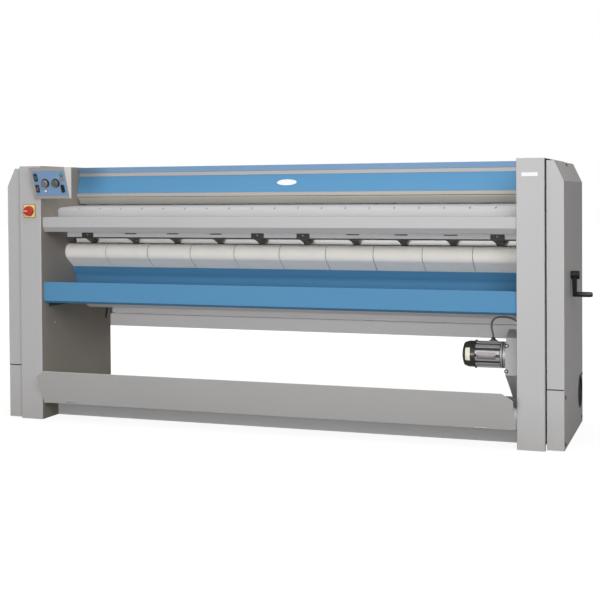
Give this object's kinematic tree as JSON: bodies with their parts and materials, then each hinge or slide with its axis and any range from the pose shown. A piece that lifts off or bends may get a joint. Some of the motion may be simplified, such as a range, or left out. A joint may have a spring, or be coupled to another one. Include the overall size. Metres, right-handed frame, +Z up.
{
  "type": "rotary ironer",
  "caption": "Free-standing flatwork ironer with feed table, hood, heated cylinder, ironing belts, receiving trough, linen tray, side drive and hand crank.",
  "frame": {"origin": "centre of the footprint, on the floor under the levelling feet", "axes": "+X to the right along the rollers, +Y to the back, +Z up"},
  "size_m": [2.7094, 0.786, 1.2],
  "materials": {
    "light_grey_paint": "semi-gloss powder coat",
    "blue_paint": "satin",
    "pale_blue_paint": "satin",
    "trough_blue_paint": "satin",
    "green_paint": "satin",
    "dark_steel": "matt",
    "cast_grey": "plain",
    "bright_steel": "brushed",
    "polished_steel": "polished",
    "aluminium": "plain",
    "black_paint": "semi-gloss",
    "belting": "woven",
    "rubber": "matt",
    "black_plastic": "matt",
    "green_plastic": "gloss",
    "red_plastic": "gloss",
    "yellow_plastic": "satin",
    "lamp_plastic": "clear gloss",
    "white_plastic": "gloss",
    "grey_plastic": "matt"
  },
  "bodies": {
    "root": {"side_frame_right": "light_grey_paint", "side_frame_left": "light_grey_paint", "side_cover_right": "light_grey_paint", "side_cover_left": "light_grey_paint", "lower_cover_right": "light_grey_paint", "lower_cover_left": "light_grey_paint", "front_crossbar": "light_grey_paint", "rear_crossbar": "light_grey_paint", "rear_cover": "light_grey_paint", "hood_cover": "light_grey_paint", "guard_hinge_rail": "light_grey_paint", "feed_rail": "light_grey_paint", "feed_table_top": "light_grey_paint", "table_beam": "light_grey_paint", "lower_shield": "light_grey_paint", "linen_tray": "light_grey_paint", "drive_housing": "light_grey_paint", "control_box": "light_grey_paint", "hood_front_panel": "blue_paint", "control_fascia": "blue_paint", "hood_top_strip": "pale_blue_paint", "receiving_trough": "trough_blue_paint", "trough_bracket_right": "green_paint", "trough_bracket_left": "green_paint", "scraper_comb": "dark_steel", "hood_beam": "cast_grey", "cylinder_bearing_right": "cast_grey", "cylinder_bearing_left": "cast_grey", "gear_unit": "cast_grey", "heater_bundle": "bright_steel", "switchgear": "aluminium", "drive_motor": "aluminium", "vent_guard": "black_paint", "fan_cowl": "black_paint", "drive_chain": "black_paint", "hand_chain": "black_paint", "ironing_belts": "belting", "lead_grommet": "rubber", "cable_gland": "black_plastic", "main_switch": "yellow_plastic", "indicator_lamps": "lamp_plastic", "badge_plate": "white_plastic", "motor_lead": "grey_plastic"},
    "heated_cylinder": {"heated_cylinder": "polished_steel"},
    "nose_roller": {"nose_roller": "bright_steel"},
    "lower_rear_roller": {"lower_rear_roller": "bright_steel"},
    "upper_rear_roller": {"upper_rear_roller": "bright_steel"},
    "feed_roller": {"feed_roller": "bright_steel"},
    "drive_sprocket": {"drive_sprocket": "bright_steel"},
    "motor_shaft": {"motor_fan": "aluminium"},
    "crank": {"hand_crank": "black_paint"},
    "crank_grip": {"crank_grip": "black_plastic"},
    "finger_guard": {"finger_guard": "light_grey_paint"},
    "main_switch_handle": {"main_switch_handle": "red_plastic"},
    "knob_left": {"knob_left": "black_plastic"},
    "knob_right": {"knob_right": "black_plastic"},
    "rocker_green": {"rocker_green": "green_plastic"},
    "rocker_red": {"rocker_red": "red_plastic"},
    "rocker_black": {"rocker_black": "black_plastic"},
    "push_button": {"push_button": "white_plastic"}
  },
  "joints": [
    {"name": "cylinder_spin", "type": "hinge", "parent": "root", "child": "heated_cylinder", "pos_m": [-0.04565, 0.158, 0.86004], "axis": [1, 0, 0], "continuous": true},
    {"name": "nose_roller_spin", "type": "hinge", "parent": "root", "child": "nose_roller", "pos_m": [-0.04565, -0.058, 0.78504], "axis": [1, 0, 0], "continuous": true},
    {"name": "lower_rear_roller_spin", "type": "hinge", "parent": "root", "child": "lower_rear_roller", "pos_m": [-0.04565, 0.285, 0.528], "axis": [1, 0, 0], "continuous": true},
    {"name": "upper_rear_roller_spin", "type": "hinge", "parent": "root", "child": "upper_rear_roller", "pos_m": [-0.04565, 0.315, 1.08504], "axis": [1, 0, 0], "continuous": true},
    {"name": "feed_roller_spin", "type": "hinge", "parent": "root", "child": "feed_roller", "pos_m": [-0.04565, 0.09876, 1.04236], "axis": [1, 0, 0], "continuous": true},
    {"name": "drive_sprocket_spin", "type": "hinge", "parent": "root", "child": "drive_sprocket", "pos_m": [-0.04565, 0.015, 0.36], "axis": [1, 0, 0], "continuous": true},
    {"name": "motor_spin", "type": "hinge", "parent": "root", "child": "motor_shaft", "pos_m": [-0.04565, -0.101, 0.362], "axis": [1, 0, 0], "continuous": true},
    {"name": "crank_spin", "type": "hinge", "parent": "root", "child": "crank", "pos_m": [1.26335, -0.065, 0.708], "axis": [1, 0, 0], "continuous": true},
    {"name": "crank_grip_spin", "type": "hinge", "parent": "crank", "child": "crank_grip", "pos_m": [1.32135, -0.065, 0.626], "axis": [1, 0, 0], "continuous": true},
    {"name": "finger_guard_swing", "type": "hinge", "parent": "root", "child": "finger_guard", "pos_m": [-0.04565, 0.0315, 1.04754], "axis": [1, 0, 0], "range_deg": [0, 8]},
    {"name": "main_switch_turn", "type": "hinge", "parent": "root", "child": "main_switch_handle", "pos_m": [-1.22265, -0.315, 0.98748], "axis": [0, -1, 0], "range_deg": [-90, 0]},
    {"name": "knob_left_turn", "type": "hinge", "parent": "root", "child": "knob_left", "pos_m": [-1.11115, -0.35417, 1.11947], "axis": [0, -0.942, -0.3355], "range_deg": [-150, 150]},
    {"name": "knob_right_turn", "type": "hinge", "parent": "root", "child": "knob_right", "pos_m": [-1.05585, -0.35417, 1.11947], "axis": [0, -0.942, -0.3355], "range_deg": [-150, 150]},
    {"name": "rocker_green_tip", "type": "hinge", "parent": "root", "child": "rocker_green", "pos_m": [-1.15715, -0.3634, 1.14538], "axis": [1, 0, 0], "range_deg": [-8, 8]},
    {"name": "rocker_red_tip", "type": "hinge", "parent": "root", "child": "rocker_red", "pos_m": [-1.15815, -0.34494, 1.09356], "axis": [1, 0, 0], "range_deg": [-8, 8]},
    {"name": "rocker_black_tip", "type": "hinge", "parent": "root", "child": "rocker_black", "pos_m": [-1.02345, -0.3446, 1.09262], "axis": [1, 0, 0], "range_deg": [-8, 8]},
    {"name": "push_button_press", "type": "slide", "parent": "root", "child": "push_button", "axis": [0, 0.942, 0.3355], "range_m": [0, 0.003], "stiffness_N_per_m": 400}
  ],
  "couplings": [
    {"joint": "nose_roller_spin", "follows": "cylinder_spin", "ratio": -4.2345},
    {"joint": "lower_rear_roller_spin", "follows": "cylinder_spin", "ratio": -6.3682},
    {"joint": "upper_rear_roller_spin", "follows": "cylinder_spin", "ratio": -6.3682},
    {"joint": "feed_roller_spin", "follows": "cylinder_spin", "ratio": -6.1306},
    {"joint": "drive_sprocket_spin", "follows": "cylinder_spin", "ratio": 4}
  ]
}
